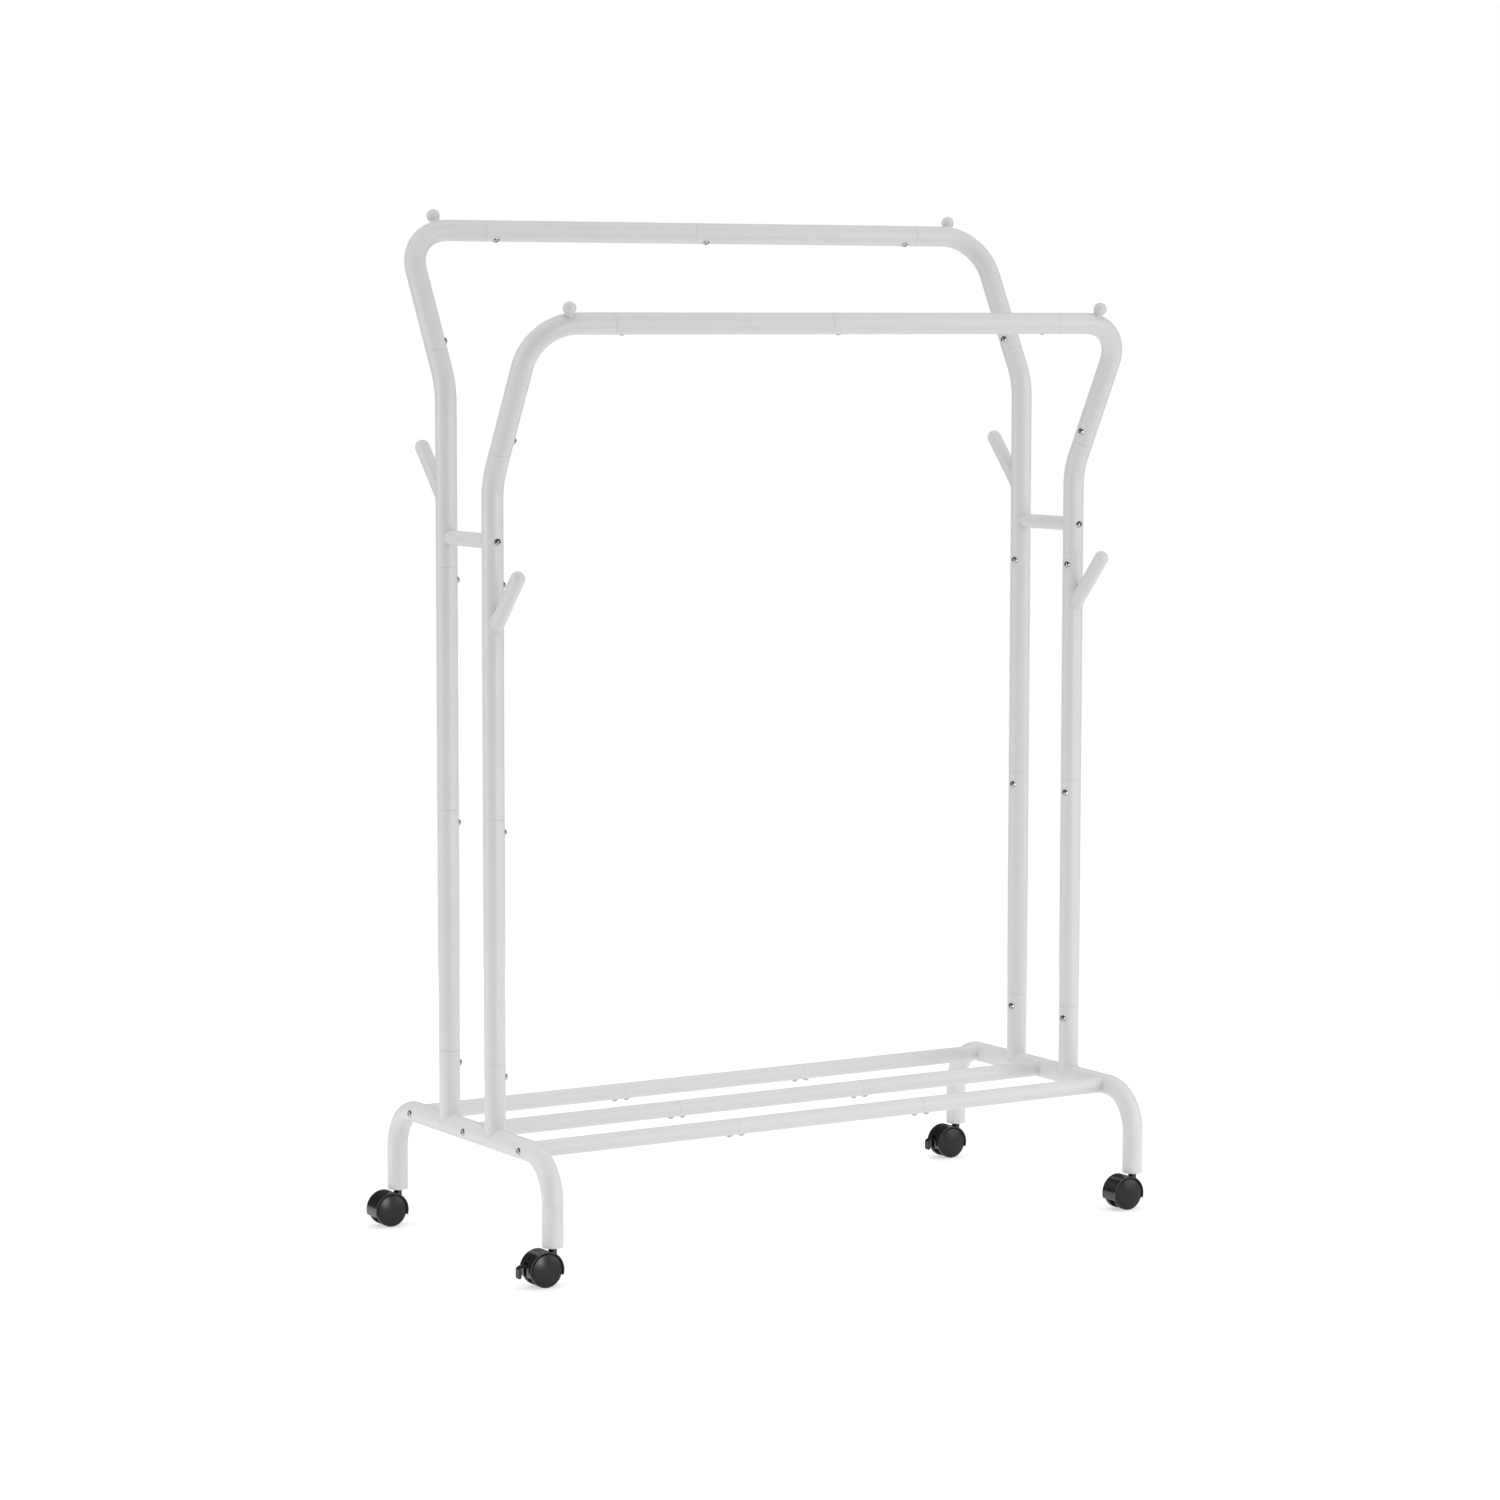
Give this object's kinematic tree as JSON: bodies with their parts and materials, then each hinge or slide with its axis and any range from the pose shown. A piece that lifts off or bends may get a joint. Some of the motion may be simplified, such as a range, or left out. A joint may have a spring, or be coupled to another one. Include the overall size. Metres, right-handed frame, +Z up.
{
  "type": "rolling clothes rack",
  "caption": "Rolling clothes rack of white bolted steel tube: a lower front and a higher rear hanging rail, side coat hooks, a shelf of rods and swivel casters.",
  "frame": {"origin": "on the floor, midway between the four leg axes", "axes": "+X along the rails to the right, +Y to the rear (the higher rail), +Z up; the front, with the lower rail, faces -Y"},
  "size_m": [1.1255, 0.5306, 1.5619],
  "materials": {
    "white_steel": "satin powder coat",
    "knob_white": "satin powder coat",
    "white_plastic": "moulded",
    "zinc_screw": "bright zinc",
    "plated_steel": "zinc plated",
    "galvanised_steel": "galvanised",
    "caster_plastic": "gloss",
    "wheel_plastic": "satin gloss",
    "lever_plastic": "moulded"
  },
  "bodies": {
    "frame": {"caster_stems": "plated_steel", "centre_shelf_rod_left": "white_steel", "centre_shelf_rod_middle": "white_steel", "centre_shelf_rod_right": "white_steel", "coat_hooks": "white_steel", "front_left_lower_post": "white_steel", "front_left_middle_post": "white_steel", "front_left_rail_corner": "white_steel", "front_left_upper_post": "white_steel", "front_rail_left_half": "white_steel", "front_rail_right_half": "white_steel", "front_right_lower_post": "white_steel", "front_right_middle_post": "white_steel", "front_right_rail_corner": "white_steel", "front_right_upper_post": "white_steel", "front_shelf_rod_left": "white_steel", "front_shelf_rod_middle": "white_steel", "front_shelf_rod_right": "white_steel", "hook_caps": "white_plastic", "joint_screws": "zinc_screw", "left_base_frame": "white_steel", "left_crossbar": "white_steel", "leg_plugs": "white_plastic", "long_screws": "zinc_screw", "rail_knobs": "knob_white", "rear_left_lower_post": "white_steel", "rear_left_middle_post": "white_steel", "rear_left_rail_corner": "white_steel", "rear_left_upper_post": "white_steel", "rear_rail_left_half": "white_steel", "rear_rail_right_half": "white_steel", "rear_right_lower_post": "white_steel", "rear_right_middle_post": "white_steel", "rear_right_rail_corner": "white_steel", "rear_right_upper_post": "white_steel", "rear_shelf_rod_left": "white_steel", "rear_shelf_rod_middle": "white_steel", "rear_shelf_rod_right": "white_steel", "right_base_frame": "white_steel", "right_crossbar": "white_steel", "shelf_rod_sleeves": "galvanised_steel", "threaded_end_plugs": "plated_steel"},
    "front_left_caster": {"front_left_caster_housing": "caster_plastic", "front_left_caster_axle": "plated_steel"},
    "front_left_front_wheel": {"front_left_wheel_front": "wheel_plastic"},
    "front_left_rear_wheel": {"front_left_wheel_rear": "wheel_plastic"},
    "front_left_brake": {"front_left_brake_lever": "lever_plastic"},
    "front_right_caster": {"front_right_caster_housing": "caster_plastic", "front_right_caster_axle": "plated_steel"},
    "front_right_front_wheel": {"front_right_wheel_front": "wheel_plastic"},
    "front_right_rear_wheel": {"front_right_wheel_rear": "wheel_plastic"},
    "rear_left_caster": {"rear_left_caster_housing": "caster_plastic", "rear_left_caster_axle": "plated_steel"},
    "rear_left_front_wheel": {"rear_left_wheel_front": "wheel_plastic"},
    "rear_left_rear_wheel": {"rear_left_wheel_rear": "wheel_plastic"},
    "rear_right_caster": {"rear_right_caster_housing": "caster_plastic", "rear_right_caster_axle": "plated_steel"},
    "rear_right_front_wheel": {"rear_right_wheel_front": "wheel_plastic"},
    "rear_right_rear_wheel": {"rear_right_wheel_rear": "wheel_plastic"},
    "rear_right_brake": {"rear_right_brake_lever": "lever_plastic"}
  },
  "joints": [
    {"name": "front_left_caster_swivel", "type": "hinge", "parent": "frame", "child": "front_left_caster", "pos_m": [-0.524, -0.246, 0.05], "axis": [0, 0, 1], "continuous": true},
    {"name": "front_left_front_wheel_spin", "type": "hinge", "parent": "front_left_caster", "child": "front_left_front_wheel", "pos_m": [-0.542, -0.2577, 0.025], "axis": [0, 1, 0], "continuous": true},
    {"name": "front_left_rear_wheel_spin", "type": "hinge", "parent": "front_left_caster", "child": "front_left_rear_wheel", "pos_m": [-0.542, -0.2343, 0.025], "axis": [0, 1, 0], "continuous": true},
    {"name": "front_left_brake_press", "type": "hinge", "parent": "front_left_caster", "child": "front_left_brake", "pos_m": [-0.56093, -0.246, 0.02334], "axis": [0, -1, 0], "range_deg": [0, 15]},
    {"name": "front_right_caster_swivel", "type": "hinge", "parent": "frame", "child": "front_right_caster", "pos_m": [0.524, -0.246, 0.05], "axis": [0, 0, 1], "continuous": true},
    {"name": "front_right_front_wheel_spin", "type": "hinge", "parent": "front_right_caster", "child": "front_right_front_wheel", "pos_m": [0.506, -0.2577, 0.025], "axis": [0, 1, 0], "continuous": true},
    {"name": "front_right_rear_wheel_spin", "type": "hinge", "parent": "front_right_caster", "child": "front_right_rear_wheel", "pos_m": [0.506, -0.2343, 0.025], "axis": [0, 1, 0], "continuous": true},
    {"name": "rear_left_caster_swivel", "type": "hinge", "parent": "frame", "child": "rear_left_caster", "pos_m": [-0.524, 0.246, 0.05], "axis": [0, 0, 1], "continuous": true},
    {"name": "rear_left_front_wheel_spin", "type": "hinge", "parent": "rear_left_caster", "child": "rear_left_front_wheel", "pos_m": [-0.542, 0.2343, 0.025], "axis": [0, 1, 0], "continuous": true},
    {"name": "rear_left_rear_wheel_spin", "type": "hinge", "parent": "rear_left_caster", "child": "rear_left_rear_wheel", "pos_m": [-0.542, 0.2577, 0.025], "axis": [0, 1, 0], "continuous": true},
    {"name": "rear_right_caster_swivel", "type": "hinge", "parent": "frame", "child": "rear_right_caster", "pos_m": [0.524, 0.246, 0.05], "axis": [0, 0, 1], "continuous": true},
    {"name": "rear_right_front_wheel_spin", "type": "hinge", "parent": "rear_right_caster", "child": "rear_right_front_wheel", "pos_m": [0.506, 0.2343, 0.025], "axis": [0, 1, 0], "continuous": true},
    {"name": "rear_right_rear_wheel_spin", "type": "hinge", "parent": "rear_right_caster", "child": "rear_right_rear_wheel", "pos_m": [0.506, 0.2577, 0.025], "axis": [0, 1, 0], "continuous": true},
    {"name": "rear_right_brake_press", "type": "hinge", "parent": "rear_right_caster", "child": "rear_right_brake", "pos_m": [0.48707, 0.246, 0.02334], "axis": [0, -1, 0], "range_deg": [0, 15]}
  ]
}
